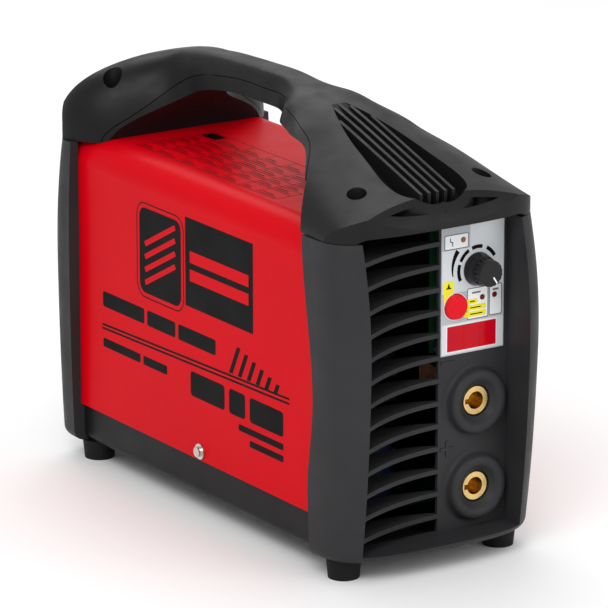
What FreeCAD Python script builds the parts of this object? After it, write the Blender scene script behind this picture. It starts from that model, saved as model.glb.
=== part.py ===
import FreeCAD, Part
import math
import os
import re
import types

# Portable inverter welder for TIG and stick work. Millimetres, +Z up, front towards -Y.
# The origin is on the floor under the middle of the case.

Vector = FreeCAD.Vector
Rotation = FreeCAD.Rotation

SIZES = [
    ("body_length", 413.0, "front pillars to the rear face"),
    ("case_width", 165.0, "outside of the red sheet cover"),
    ("case_top", 256.0, "flat top of the sheet cover above the floor"),
    ("sheet", 1.5, "sheet metal thickness"),
    ("sheet_bend", 20.0, "outside bend radius of the sheet cover"),
    ("foot_height", 15.0, "floor to the underside of the case"),
    ("foot_radius", 13.0, "rubber foot"),
    ("foot_side_inset", 14.5, "sheet cover's side to the middle of a foot"),
    ("foot_end_inset", 36.5, "front pillars or rear face to the middle of a foot"),
    ("tray_height", 29.5, "height of the base tray"),
    ("tray_inset", 2.5, "tray side inside the sheet cover's side"),
    ("tray_wall", 2.0, "base tray thickness"),
    ("tray_round", 7.0, "rounding of the tray's long lower edges"),
    ("seam_drop", 3.3, "end cover rim below the sheet cover's top"),
    ("shell_wall", 3.0, "plastic wall of the end covers"),
    ("edge_round", 9.0, "rounding of the end covers' lower edge"),
    ("cover_proud", 9.5, "end cover's side beyond the sheet cover's side"),
    ("fit_gap", 0.3, "clearance between parts that slide together"),
    ("seam_gap", 0.6, "visible joint line between plastic shells"),
    ("belly_height", 170.0, "height where the end covers bulge most"),
    ("front_crown", 7.0, "middle of the front bow beyond the pillars"),
    ("panel_recess", 30.5, "front pillars to the panel's face"),
    ("pillar_inner", 69.0, "middle to the pillar's inner wall"),
    ("ledge_height", 21.0, "top of the ledge under the panel"),
    ("front_depth", 59.5, "front pillars to the front cover's rear rim"),
    ("rear_depth", 34.5, "rear face to the rear cover's front rim"),
    ("rear_recess", 10.5, "rear face to the rear panel's face"),
    ("slat_count", 13, "air slats beside the panel"),
    ("slat_pitch", 17.07, "slat to slat"),
    ("slat_first", 33.0, "height of the lowest slat"),
    ("slat_thickness", 3.4, "slat"),
    ("plate_width", 55.0, "control plate"),
    ("plate_height", 99.0, "control plate"),
    ("plate_thickness", 0.8, "control plate"),
    ("plate_margin", 3.0, "control plate to the pillar"),
    ("knob_radius", 12.5, "knob skirt"),
    ("cap_radius", 10.3, "fluted knob cap"),
    ("knob_height", 16.5, "knob skirt and cap together"),
    ("shaft_radius", 3.0, "potentiometer shaft"),
    ("button_radius", 9.3, "round mode button"),
    ("button_travel", 1.2, "how far the mode button goes in"),
    ("lamp_radius", 1.9, "indicator lamp"),
    ("window_width", 42.7, "display window"),
    ("window_height", 18.7, "display window"),
    ("socket_bore", 6.6, "radius of the welding socket's bore"),
    ("socket_radius", 10.5, "outside radius of the brass insert"),
    ("socket_depth", 24.0, "depth of the welding socket's bore"),
    ("socket_pitch", 65.0, "lower socket to upper socket"),
    ("socket_low", 51.0, "height of the lower socket"),
    ("bell_radius", 28.0, "foot of the rounded socket surround"),
    ("bell_height", 8.0, "crest of the socket surround above the panel"),
    ("crown_height", 329.0, "highest point of the handle"),
    ("grip_width", 34.0, "handle grip"),
    ("grip_height", 23.0, "handle grip at its middle"),
    ("liner_depth", 11.0, "lower half of the grip"),
    ("hood_wall", 3.5, "handle shell thickness"),
    ("fin_count", 5, "fins in the scoop of the handle"),
    ("fin_pitch", 7.0, "fin to fin"),
    ("fin_thickness", 2.6, "fin"),
    ("screw_radius", 2.0, "thread of the case screws"),
    ("screw_head", 4.4, "head radius of the handle screws"),
    ("fan_size", 92.0, "side of the square fan"),
    ("fan_depth", 25.0, "fan thickness"),
    ("fan_height", 105.0, "fan axis above the floor"),
    ("fan_axle", 2.0, "fan axle radius"),
    ("running_gap", 0.05, "radial clearance of turning shafts"),
    ("switch_width", 22.0, "power rocker opening"),
    ("switch_height", 30.0, "power rocker opening"),
    ("rocker_tilt", 12.0, "tilt of each half of the power rocker in degrees"),
    ("rear_row", 205.0, "height of the power switch and the cable gland"),
    ("gland_bore", 5.5, "radius of the cable hole in the gland"),
    ("gland_thread", 10.0, "radius of the gland's thread"),
    ("board_rise", 12.0, "circuit board above the tray floor"),
    ("board_thickness", 1.6, "circuit boards"),
    ("sink_length", 150.0, "heat sink along the air flow"),
    ("sink_height", 80.0, "heat sink"),
    ("sink_width", 44.0, "heat sink"),
]

os.makedirs("parts", exist_ok=True)
doc = FreeCAD.newDocument("Welder")
sheet = doc.addObject("Spreadsheet::Sheet", "Sizes")
for row, (alias, value, note) in enumerate(SIZES, start=1):
    sheet.set(f"A{row}", alias)
    sheet.set(f"B{row}", str(value))
    sheet.set(f"C{row}", note)
    sheet.setAlias(f"B{row}", alias)
doc.recompute()
ALIASES = {alias for alias, value, note in SIZES}
size = types.SimpleNamespace(**{alias: float(sheet.get(alias)) for alias in ALIASES})
pieces = []


# ---------------------------------------------------------------- document helpers


def bound(expression):
    """The expression with every size's name pointing at its cell of the sheet."""
    return re.sub(
        r"[a-z_]+", lambda word: "Sizes." + word[0] if word[0] in ALIASES else word[0], str(expression)
    )


def piece(made, name):
    """Marks a document object as a finished piece, which is exported under its label."""
    made.Label = name
    pieces.append(made)
    return made


def block(name, low, high):
    """A box between two corners, each given as three expressions."""
    box = doc.addObject("Part::Box", name)
    for side, start, end, place in zip(("Length", "Width", "Height"), low, high, "xyz"):
        box.setExpression(side, bound(f"({end}) - ({start})"))
        box.setExpression(f"Placement.Base.{place}", bound(start))
    return box


TURNED = {"x": Rotation(Vector(0, 1, 0), 90), "y": Rotation(Vector(1, 0, 0), -90), "z": Rotation()}


def rod(name, start, radius, length, axis="y", tip_radius=None):
    """A cylinder, or a cone when tip_radius is given, that runs along +axis from start."""
    kind = "Part::Cylinder" if tip_radius is None else "Part::Cone"
    made = doc.addObject(kind, name)
    made.Placement = FreeCAD.Placement(Vector(), TURNED[axis])
    for place, expression in zip("xyz", start):
        made.setExpression(f"Placement.Base.{place}", bound(expression))
    made.setExpression("Height", bound(length))
    if tip_radius is None:
        made.setExpression("Radius", bound(radius))
    else:
        made.setExpression("Radius1", bound(radius))
        made.setExpression("Radius2", bound(tip_radius))
    return made


def prism(name, centre, radius, length, axis="y", sides=6):
    """A hexagonal (or other) bar along +axis from the centre of its first face."""
    made = doc.addObject("Part::Prism", name)
    made.Polygon = sides
    made.Placement = FreeCAD.Placement(Vector(), TURNED[axis])
    for place, expression in zip("xyz", centre):
        made.setExpression(f"Placement.Base.{place}", bound(expression))
    made.setExpression("Circumradius", bound(radius))
    made.setExpression("Height", bound(length))
    return made


def fuse(name, *shapes):
    """One solid of several that touch or overlap."""
    made = doc.addObject("Part::MultiFuse", name)
    made.Shapes = list(shapes)
    made.Refine = True
    return made


def group(name, *shapes):
    """Separate solids kept as one piece, such as a set of screws."""
    made = doc.addObject("Part::Compound", name)
    made.Links = list(shapes)
    return made


def cut(name, base, *tools):
    """base with every tool taken away."""
    made = doc.addObject("Part::Cut", name)
    made.Base = base
    made.Tool = tools[0] if len(tools) == 1 else group(name + "_tools", *tools)
    made.Refine = base.TypeId != "Part::Feature"
    return made


def common(name, first, second):
    """What two shapes share."""
    made = doc.addObject("Part::Common", name)
    made.Base = first
    made.Tool = second
    return made


def sculpt(name, shape):
    """A freely shaped solid, worked out by the functions below."""
    made = doc.addObject("Part::Feature", name)
    made.Shape = shape
    return made


# ---------------------------------------------------------------- shape helpers


def curve(points):
    """A smooth edge through the points."""
    spline = Part.BSplineCurve()
    spline.interpolate([Vector(*point) for point in points])
    return spline.toShape()


def closed_wire(points):
    """A smooth edge through the points, closed by one straight edge."""
    return Part.Wire([curve(points), Part.makeLine(Vector(*points[-1]), Vector(*points[0]))])


def side_prism(points, half_width):
    """A closed outline of (y, z) points pushed out to both sides along X."""
    wire = closed_wire([(-half_width, y, z) for y, z in points])
    return Part.Face(wire).extrude(Vector(2 * half_width, 0, 0))


def polygon_prism(points, direction):
    """A closed outline of straight lines pushed out along a direction."""
    corners = [Vector(*point) for point in points]
    return Part.Face(Part.makePolygon(corners + corners[:1])).extrude(Vector(*direction))


# ---------------------------------------------------------------- places worked out from the sizes

case_half = size.case_width / 2
cover_half = case_half + size.cover_proud
pillar_face = -size.body_length / 2
rear_face = size.body_length / 2
panel_face = pillar_face + size.panel_recess
rear_panel = rear_face - size.rear_recess
seam = size.case_top - size.seam_drop
front_rim = pillar_face + size.front_depth
rear_rim = rear_face - size.rear_depth
tray_top = size.foot_height + size.tray_height
tray_half = case_half - size.tray_inset
plate_right = size.pillar_inner - size.plate_margin
plate_left = plate_right - size.plate_width
plate_top = seam - size.seam_gap
panel_left = plate_left - 1.5
far = 3 * size.body_length

# The same places as expressions, for pieces whose sizes are bound to the sheet.
PANEL = "-body_length / 2 + panel_recess"
REAR = "body_length / 2 - rear_recess"
PLATE_RIGHT = "pillar_inner - plate_margin"
PLATE_LEFT = f"{PLATE_RIGHT} - plate_width"
PLATE_TOP = "case_top - seam_drop - seam_gap"
KNOB_X = f"{PLATE_LEFT} + 31.7"
KNOB_Z = f"{PLATE_TOP} - 37.5"
BUTTON_X = f"{PLATE_LEFT} + 12.3"
BUTTON_Z = f"{PLATE_TOP} - 62.9"
LAMPS = (
    (f"{PLATE_LEFT} + 18.9", f"{PLATE_TOP} - 14.0"),
    (f"{PLATE_LEFT} + 36.0", f"{PLATE_TOP} - 59.3"),
    (f"{PLATE_LEFT} + 46.8", f"{PLATE_TOP} - 59.0"),
)
WINDOW_X = f"{PLATE_LEFT} + 26.7"
WINDOW_Z = f"{PLATE_TOP} - 86.8"
SOCKET_X = f"{PLATE_LEFT} + 30.5"
TRAY_FLOOR = "foot_height + tray_wall"
BOARD = f"{TRAY_FLOOR} + board_rise"


# ---------------------------------------------------------------- end covers

PLAN_BLEND = 0.22
PLAN_POINTS = 12
PLAN_SAMPLES = 300
SECTIONS = 7


class EndShape:
    """The bulging outside of an end cover: a bowed plan that changes with height."""

    def __init__(self, apex, rim, spares, top_inset, low_inset, inward, power):
        self.apex = apex
        self.rim = rim
        self.spare_top, self.spare_low = spares
        self.top_inset = top_inset
        self.low_inset = low_inset
        self.inward = inward
        self.power = power

    def shares(self, height):
        """How far the height is above and below the belly, each from 0 to 1."""
        belly = size.belly_height
        above = max(0.0, (height - belly) / (seam - belly))
        below = max(0.0, (belly - height) / (belly - size.foot_height))
        return above, below

    def half_width(self, height):
        above, below = self.shares(height)
        return cover_half - 2.5 * above**2 - 3.0 * below**2

    def nose(self, height):
        above, below = self.shares(height)
        return self.apex + self.inward * (self.top_inset * above**2 + self.low_inset * below**2)

    def depth(self, height):
        """The bow's full depth, a little more than the nose stands before the rim."""
        spare = self.spare_top + (self.spare_low - self.spare_top) * self.shares(height)[1]
        return abs(self.rim - self.nose(height)) + spare

    def front_at(self, side, height, wall=0.0):
        """Where the outside lies, along Y, at a distance from the middle."""
        share = abs(side) / (self.half_width(height) - wall)
        sweep = (self.depth(height) - wall) * (1 - (1 - share**self.power) ** PLAN_BLEND)
        return self.nose(height) + self.inward * (wall + sweep)

    def plan(self, height, wall=0.0):
        """Half of the plan at this height in even steps, from the middle out to the rim."""
        wide = self.half_width(height) - wall
        reach = (abs(self.rim - self.nose(height)) - wall) / (self.depth(height) - wall)
        last = (1 - (1 - reach) ** (1 / PLAN_BLEND)) ** (1 / self.power)
        sides = [wide * last * math.sin(math.pi / 2 * i / PLAN_SAMPLES) for i in range(PLAN_SAMPLES + 1)]
        fine = [(side, self.front_at(side, height, wall)) for side in sides]
        run = [0.0]
        for before, after in zip(fine, fine[1:]):
            run.append(run[-1] + math.dist(before, after))
        half = []
        for i in range(PLAN_POINTS + 1):
            wanted = run[-1] * i / PLAN_POINTS
            half.append(fine[min(range(len(run)), key=lambda k: abs(run[k] - wanted))])
        return half

    def solid(self, wall=0.0, top=seam):
        """The closed shape, or its inside when a wall is given."""
        low = size.foot_height + wall
        wires = []
        for i in range(SECTIONS):
            height = low + (top - low) * i / (SECTIONS - 1)
            half = self.plan(height, wall)
            outline = [(-x, y, height) for x, y in reversed(half)]
            outline += [(x, y, height) for x, y in half[1:]]
            wires.append(closed_wire(outline))
        shape = Part.makeLoft(wires, True, False)
        underside = [edge for edge in shape.Edges if edge.BoundBox.ZMax < low + 0.5 and edge.BoundBox.YLength > wall + 1]
        return shape.makeFillet(size.edge_round - wall, underside)


front_shape = EndShape(pillar_face - size.front_crown, front_rim, (2.0, 14.0), 12.5, 10.0, 1, 3.2)
rear_shape = EndShape(rear_face + 1.0, rear_rim, (3.0, 5.0), 8.5, 3.0, -1, 5.0)


def slab(low, high):
    """A plain box between two corners given as numbers."""
    corner = Vector(*low)
    return Part.makeBox(*(b - a for a, b in zip(low, high)), corner)


def case_room(start, end):
    """The room that the sheet cover and the base tray take inside an end cover."""
    wide = case_half + size.fit_gap
    upper = slab((-wide, start, tray_top - size.fit_gap), (wide, end, seam + 1))
    narrow = tray_half - 8
    lower = slab((-narrow, start, size.foot_height + size.shell_wall), (narrow, end, tray_top))
    return upper.fuse(lower)


def socket_bell(centre_x, centre_z):
    """The rounded surround of a welding socket, turned about the socket's axis."""
    hole = size.socket_radius + 1.5
    crest = 0.5 * (hole + size.bell_radius)
    profile = [
        (size.bell_radius, 0.0),
        (size.bell_radius - 2.6, 1.0),
        (crest + 3.2, size.bell_height - 1.2),
        (crest, size.bell_height),
        (crest - 3.4, size.bell_height - 1.0),
        (hole + 1.0, size.bell_height - 4.6),
        (hole, size.bell_height - 5.4),
    ]
    outline = [Vector(centre_x + r, panel_face - rise, centre_z) for r, rise in profile]
    spline = Part.BSplineCurve()
    spline.interpolate(outline)
    back = panel_face + 1
    corners = [
        outline[-1],
        Vector(centre_x + hole, back, centre_z),
        Vector(centre_x + size.bell_radius, back, centre_z),
        outline[0],
    ]
    lines = [Part.makeLine(a, b) for a, b in zip(corners, corners[1:])]
    face = Part.Face(Part.Wire([spline.toShape()] + lines))
    return face.revolve(Vector(centre_x, 0, centre_z), Vector(0, 1, 0), 360)


def slat(height):
    """One air slat: a crescent from the pillar's inner edge to the panel's edge."""
    start = -size.pillar_inner - 1.5
    end = plate_left - 0.6
    front = front_shape.front_at(size.pillar_inner, height) + 1.0
    low = height - size.slat_thickness / 2
    edge = []
    for share in (0.0, 0.25, 0.5, 0.75, 1.0):
        y = panel_face - 0.8 - (panel_face - 0.8 - front) * (1 - share) ** 2
        edge.append((start + (end - start) * share, y, low))
    middle = start + 0.42 * (end - start)
    back = [(end, panel_face + 2.2, low), (middle, panel_face + 12.5, low), (start, panel_face + 4.0, low)]
    outline = [
        curve(edge),
        Part.makeLine(Vector(*edge[-1]), Vector(*back[0])),
        curve(back),
        Part.makeLine(Vector(*back[-1]), Vector(*edge[0])),
    ]
    return Part.Face(Part.Wire(outline)).extrude(Vector(0, 0, size.slat_thickness))


def front_rim_trim():
    """Everything behind the wavy side edge of the front cover."""
    edge = [
        (front_rim, seam + 1),
        (front_rim - 11.0, seam - 58.0),
        (front_rim - 18.0, seam - 118.0),
        (front_rim - 15.0, seam - 148.0),
        (front_rim - 11.0, seam - 172.0),
        (front_rim - 9.6, seam - 192.0),
        (front_rim - 9.5, seam - 206.0),
        (front_rim - 9.5, seam - 220.0),
        (front_rim - 9.5, size.foot_height - 1.0),
    ]
    wide = cover_half + 5
    wire = [curve([(-wide, y, z) for y, z in edge])]
    ring = [edge[-1], (front_rim + 30, edge[-1][1]), (front_rim + 30, edge[0][1]), edge[0]]
    corners = [Vector(-wide, y, z) for y, z in ring]
    wire += [Part.makeLine(a, b) for a, b in zip(corners, corners[1:])]
    return Part.Face(Part.Wire(wire)).extrude(Vector(2 * wide, 0, 0))


def front_cover():
    """Front frame: shell, pillars, ledge, panel, slats and socket surrounds in one moulding."""
    wall = size.shell_wall
    outer = front_shape.solid()
    pillar = size.pillar_inner
    window = slab((-pillar, -far, size.ledge_height), (pillar, panel_face, far))
    shell = outer.cut(front_shape.solid(wall, seam + 1)).cut(window)
    collar_start = panel_face + wall + 1
    collar = outer.common(slab((-far, collar_start, 0), (far, far, far)))
    collar = collar.cut(case_room(collar_start - 1, far))
    floor = size.foot_height + wall
    frame = [
        slab((pillar, -far, floor), (pillar + wall, collar_start + 0.2, far)),
        slab((-pillar - wall, -far, floor), (-pillar, collar_start + 0.2, far)),
        slab((-pillar - wall, -far, floor - 1), (pillar + wall, panel_face + wall, size.ledge_height)),
        slab((panel_left, panel_face, floor), (pillar + wall, panel_face + wall, far)),
    ]
    body = shell.fuse([collar] + [outer.common(wall_box) for wall_box in frame])
    body = body.cut(front_rim_trim())
    slats = [slat(size.slat_first + size.slat_pitch * i) for i in range(int(size.slat_count))]
    sockets = [(plate_left + 30.5, size.socket_low + size.socket_pitch * i) for i in (0, 1)]
    bells = [socket_bell(x, z) for x, z in sockets]
    marks = [slab((x - 30.0, panel_face - 0.8, z + 30.6), (x - 18.0, panel_face + 1, z + 32.8)) for x, z in sockets]
    plus_x, plus_z = sockets[0][0] - 24.0, sockets[0][1] + 31.7
    marks.append(slab((plus_x - 1.1, panel_face - 0.8, plus_z - 6), (plus_x + 1.1, panel_face + 1, plus_z + 6)))
    body = body.fuse(slats + bells + marks)
    holes = []
    for x, z in sockets:
        holes.append(Part.makeCylinder(size.socket_radius + 1.5, 40, Vector(x, panel_face - 15, z), Vector(0, 1, 0)))
    return body.cut(holes)


front_blank = sculpt("front_blank", front_cover())
panel_cuts = [
    rod("knob_hole", (KNOB_X, f"{PANEL} - 1", KNOB_Z), "shaft_radius + 1.2", "shell_wall + 2"),
    rod("button_hole", (BUTTON_X, f"{PANEL} - 1", BUTTON_Z), "button_radius + 0.5", "shell_wall + 2"),
    block(
        "window_hole",
        (f"{WINDOW_X} - window_width / 2 - fit_gap", f"{PANEL} - 1", f"{WINDOW_Z} - window_height / 2 - fit_gap"),
        (f"{WINDOW_X} + window_width / 2 + fit_gap", f"{PANEL} + 5", f"{WINDOW_Z} + window_height / 2 + fit_gap"),
    ),
]
for i, (x, z) in enumerate(LAMPS):
    panel_cuts.append(rod(f"lamp_hole_{i}", (x, f"{PANEL} - 1", z), "lamp_radius + 0.3", "shell_wall + 2"))
piece(cut("front_bezel", front_blank, *panel_cuts), "front_bezel")


def rear_cover_shape():
    """Rear cover: shell, collar round the case, and a flat panel with the fan grille."""
    wall = size.shell_wall
    outer = rear_shape.solid()
    shell = outer.cut(rear_shape.solid(wall, seam + 1))
    pocket_half = size.pillar_inner - 6
    pocket = slab((-pocket_half, rear_panel, size.ledge_height + 15), (pocket_half, far, seam - 14))
    collar = outer.common(slab((-far, -far, 0), (far, rear_rim + 10, far)))
    collar = collar.cut(case_room(-far, rear_rim + 11))
    lining = [
        slab((-pocket_half - wall, rear_panel - wall, size.ledge_height + 12), (pocket_half + wall, far, seam - 11)),
    ]
    room = slab((-pocket_half - 1, -far, size.ledge_height + 14), (pocket_half + 1, rear_panel - wall, far))
    box = outer.common(lining[0]).cut(room)
    body = shell.fuse([collar, box]).cut(pocket)
    fan = Vector(0, rear_panel - wall - 2, size.fan_height)
    opening = Part.makeCylinder(size.fan_size / 2 - 3, wall + 6, fan, Vector(0, 1, 0))
    body = body.cut(opening)
    bars = []
    radius = size.fan_size / 2
    ring_count = 4
    for i in range(1, ring_count + 1):
        middle = radius * i / (ring_count + 0.6)
        ring = Part.makeCylinder(middle + 1.2, 2.4, Vector(0, rear_panel - 2.4, size.fan_height), Vector(0, 1, 0))
        hole = Part.makeCylinder(middle - 1.2, 2.4, Vector(0, rear_panel - 2.4, size.fan_height), Vector(0, 1, 0))
        bars.append(ring.cut(hole))
    bars.append(Part.makeCylinder(6.0, 2.4, Vector(0, rear_panel - 2.4, size.fan_height), Vector(0, 1, 0)))
    for i in range(6):
        bar = slab((-1.4, rear_panel - 2.4, 4), (1.4, rear_panel, radius - 1))
        bar.rotate(Vector(0, 0, 0), Vector(0, 1, 0), 60 * i + 30)
        bar.translate(Vector(0, 0, size.fan_height))
        bars.append(bar)
    return body.fuse(bars)


SWITCH_X = "-33"
GLAND_X = "33"
ROW = "rear_row"
rear_blank = sculpt("rear_blank", rear_cover_shape())
rear_cuts = [
    block(
        "switch_hole",
        (f"{SWITCH_X} - switch_width / 2 - 1.5", f"{REAR} - 8", f"{ROW} - switch_height / 2 - 1.5"),
        (f"{SWITCH_X} + switch_width / 2 + 1.5", f"{REAR} + 8", f"{ROW} + switch_height / 2 + 1.5"),
    ),
    rod("gland_hole", (GLAND_X, f"{REAR} - 8", ROW), "gland_thread + 0.1", "20"),
]
FAN_HALF = "(fan_size / 2 - 4.75)"
FAN_CORNERS = [(f"{a} * {FAN_HALF}", f"fan_height + {b} * {FAN_HALF}") for a in (-1, 1) for b in (-1, 1)]
for i, (x, z) in enumerate(FAN_CORNERS):
    rear_cuts.append(rod(f"fan_screw_hole_{i}", (x, f"{REAR} - 8", z), "screw_radius + 0.2", "20"))
piece(cut("rear_cover", rear_blank, *rear_cuts), "rear_cover")


# ---------------------------------------------------------------- sheet metal case



def sheet_cover():
    """The red cover: one sheet bent over the top with two rounded bends, open below."""
    start = panel_face + size.shell_wall + 1.5
    end = rear_rim + 9.5
    corner = size.sheet_bend

    def arch(inset, low, front, back):
        half = case_half - inset
        top = size.case_top - inset
        bend = corner - inset
        lean = bend * (1 - math.sqrt(0.5))
        edges = [
            Part.makeLine(Vector(-half, front, low), Vector(-half, front, top - bend)),
            Part.Arc(
                Vector(-half, front, top - bend),
                Vector(-half + lean, front, top - lean),
                Vector(-half + bend, front, top),
            ).toShape(),
            Part.makeLine(Vector(-half + bend, front, top), Vector(half - bend, front, top)),
            Part.Arc(
                Vector(half - bend, front, top),
                Vector(half - lean, front, top - lean),
                Vector(half, front, top - bend),
            ).toShape(),
            Part.makeLine(Vector(half, front, top - bend), Vector(half, front, low)),
            Part.makeLine(Vector(half, front, low), Vector(-half, front, low)),
        ]
        return Part.Face(Part.Wire(edges)).extrude(Vector(0, back - front, 0))

    return arch(0, tray_top, start, end).cut(arch(size.sheet, tray_top - 5, start - 5, end + 5)), arch


cover_blank, case_arch = sheet_cover()
HOOD_SCREWS = [(f"{side} * 54", "-body_length / 2 + 42") for side in (-1, 1)]
HOOD_SCREWS += [(f"{side} * 56", "body_length / 2 - 42") for side in (-1, 1)]
SIDE_SCREW_Z = "foot_height + tray_height + 7"
cover_holes = []
for i, (x, y) in enumerate(HOOD_SCREWS):
    cover_holes.append(rod(f"hood_screw_way_{i}", (x, y, "case_top - 8"), "screw_radius + 0.6", "16", "z"))
cover_holes.append(rod("side_screw_way", ("-case_width", "0", SIDE_SCREW_Z), "screw_radius + 0.6", "2 * case_width", "x"))
piece(cut("side_cover", sculpt("side_cover_blank", cover_blank), *cover_holes), "side_cover")


def tray_shell():
    """The base tray: floor, four walls, rounded lower edges and a tongue at each end."""
    start = front_rim - 9.5 + size.fit_gap
    end = rear_rim - size.fit_gap
    wall = size.tray_wall
    low = size.foot_height
    outer = slab((-tray_half, start, low), (tray_half, end, tray_top))
    long_edges = [e for e in outer.Edges if e.BoundBox.YLength > 10 and e.BoundBox.ZMax < low + 1]
    outer = outer.makeFillet(size.tray_round, long_edges)
    inner = slab((-tray_half + wall, start + wall, low + wall), (tray_half - wall, end - wall, tray_top + 5))
    long_edges = [e for e in inner.Edges if e.BoundBox.YLength > 10 and e.BoundBox.ZMax < low + wall + 1]
    inner = inner.makeFillet(size.tray_round - wall, long_edges)
    shelf = low + size.shell_wall + size.fit_gap
    narrow = tray_half - 8 - size.fit_gap
    tongues = [
        slab((-narrow, start - 12, shelf), (narrow, start + 6, shelf + wall)),
        slab((-narrow, start + 1, low + 1), (narrow, start + 6, shelf + wall)),
        slab((-narrow, end - 6, shelf), (narrow, end + 8, shelf + wall)),
        slab((-narrow, end - 6, low + 1), (narrow, end - 1, shelf + wall)),
    ]
    lugs = []
    for side in (-1, 1):
        near, away = sorted((side * (tray_half - wall), side * (case_half - size.sheet)))
        lugs.append(slab((near, -9, tray_top), (away, 9, tray_top + 14)))
        near, away = sorted((side * (tray_half - wall), side * tray_half))
        lugs.append(slab((near, start + 8, tray_top - 1), (away, end - 8, tray_top + 5)))
    air_gap = slab((-60, start - 1, low + 14), (60, start + wall + 1, tray_top + 1))
    return outer.cut([inner, air_gap]).fuse(tongues + lugs)


tray_blank = sculpt("tray_blank", tray_shell())
piece(
    cut("base_tray", tray_blank, rod("tray_screw_way", ("-case_width", "0", SIDE_SCREW_Z), "screw_radius", "2 * case_width", "x")),
    "base_tray",
)

feet = []
for i, (a, b) in enumerate(((-1, -1), (1, -1), (-1, 1), (1, 1))):
    x, y = f"{a} * (case_width / 2 - foot_side_inset)", f"{b} * (body_length / 2 - foot_end_inset)"
    pad = rod(f"foot_{i}", (x, y, "0"), "foot_radius - 1.5", "foot_height", "z", "foot_radius")
    recess = rod(f"foot_recess_{i}", (x, y, "0"), "foot_radius - 7", "4", "z")
    feet.append(cut(f"foot_cut_{i}", pad, recess))
piece(group("rubber_feet_set", *feet), "rubber_feet")

side_screws = []
side_washers = []
for i, side in enumerate((-1, 1)):
    head_start = "case_width / 2 + 1.2" if side > 0 else "-case_width / 2 - 1.2 - 2.6"
    shank_start = "case_width / 2 - 7" if side > 0 else "-case_width / 2 - 2"
    head = rod(f"side_head_{i}", (head_start, "0", SIDE_SCREW_Z), "screw_head - 0.6", "2.6", "x")
    shank = rod(f"side_shank_{i}", (shank_start, "0", SIDE_SCREW_Z), "screw_radius", "9", "x")
    side_screws.append(fuse(f"side_screw_{i}", head, shank))
    washer_start = "case_width / 2" if side > 0 else "-case_width / 2 - 1.2"
    disc = rod(f"washer_disc_{i}", (washer_start, "0", SIDE_SCREW_Z), "6", "1.2", "x")
    eye = rod(f"washer_eye_{i}", (washer_start, "0", SIDE_SCREW_Z), "screw_radius + 0.1", "1.2", "x")
    side_washers.append(cut(f"side_washer_{i}", disc, eye))
piece(group("side_screw_set", *side_screws), "cover_screws")
piece(group("side_washer_set", *side_washers), "cover_washers")


# ---------------------------------------------------------------- carrying handle

HOOD_STATIONS = 25
GRIP_POWER = 5.0


def smooth(value, points):
    """A value between given points, eased so that slopes stay soft."""
    if value <= points[0][0]:
        return points[0][1]
    for (start, low), (end, high) in zip(points, points[1:]):
        if value <= end:
            share = (value - start) / (end - start)
            return low + (high - low) * share
    return points[-1][1]


# Along the handle from front to rear: place, then the crown height below the top,
# the foot's half width as a share of the cover's, and how square the flank is.
front_end = pillar_face - 8
rear_end = rear_face + 2
CROWN = [
    (front_end, 57.6),
    (-180.0, 46.5),
    (-120.0, 27.7),
    (-90.0, 18.3),
    (-60.0, 10.2),
    (-30.0, 3.5),
    (0.0, -1.0),
    (50.0, 0.0),
    (90.0, 1.5),
    (140.0, 7.5),
    (165.0, 13.0),
    (rear_end, 24.0),
]
FOOT = [
    (front_end, 1.0),
    (-100.0, 0.954),
    (-80.0, 0.824),
    (-62.0, 0.584),
    (-42.0, 0.48),
    (-25.0, 0.3),
    (0.0, 0.05),
    (100.0, 0.05),
    (125.0, 0.24),
    (142.0, 0.62),
    (158.0, 0.86),
    (175.0, 0.97),
    (rear_end, 0.985),
]
FLANK = [
    (front_end, 2.1),
    (-130.0, 2.3),
    (-90.0, 2.1),
    (-60.0, 3.4),
    (-35.0, 4.4),
    (0.0, 1.4),
    (125.0, 1.2),
    (150.0, 1.6),
    (168.0, 2.6),
    (rear_end, 2.8),
]


def softened(y, points, reach=12.0):
    """The value averaged over a short stretch, which rounds its corners."""
    steps = 8
    spread = [y + reach * (2 * i / steps - 1) for i in range(steps + 1)]
    return sum(smooth(place, points) for place in spread) / len(spread)


def hood_section(y, wall=0.0):
    """Half of the handle's cross-section at y, from the foot up to the crown."""
    foot = softened(y, FOOT, 8.0) * (cover_half - 2.5)
    power = softened(y, FLANK)
    top = size.crown_height - softened(y, CROWN) - wall
    low = seam + size.seam_gap
    grip = size.grip_width / 2
    half = []
    for angle in (0, 9, 18, 27, 36, 45, 54, 63, 72, 81, 90):
        rise = math.sin(math.radians(angle)) ** 0.8
        wide = foot * (1 - rise**power) ** (1 / power)
        slim = grip * (1 - rise**GRIP_POWER) ** (1 / GRIP_POWER)
        side = (wide**3 + slim**3) ** (1 / 3) if angle < 90 else 0.0
        side = max(0.0, side - wall * (1 - rise**8))
        half.append((side, low + (top - low) * rise))
    return half


def hood_body(wall=0.0):
    """The handle before its opening is cut: a smooth body through its cross-sections."""
    wires = []
    for i in range(HOOD_STATIONS):
        y = front_end + (rear_end - front_end) * i / (HOOD_STATIONS - 1)
        half = hood_section(y, wall)
        outline = [(-x, y, z) for x, z in half] + [(x, y, z) for x, z in reversed(half[:-1])]
        wires.append(closed_wire(outline))
    return Part.makeLoft(wires, True, False)


def hood_ends():
    """Side view of the handle: a rounded nose in front and a sloping back."""
    low = seam + size.seam_gap - 0.01
    nose = front_shape.nose(seam)
    back = rear_shape.nose(seam)
    points = [
        (nose, low),
        (nose + 0.3, low + 6),
        (nose + 5.5, low + 18),
        (nose + 19, low + 34),
        (-60, size.crown_height + 14),
        (60, size.crown_height + 20),
        (back - 62, size.crown_height + 4),
        (back - 30, low + 61),
        (back - 13, low + 40),
        (back - 2.5, low + 12),
        (back, low),
    ]
    return side_prism(points, 2 * cover_half)


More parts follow.
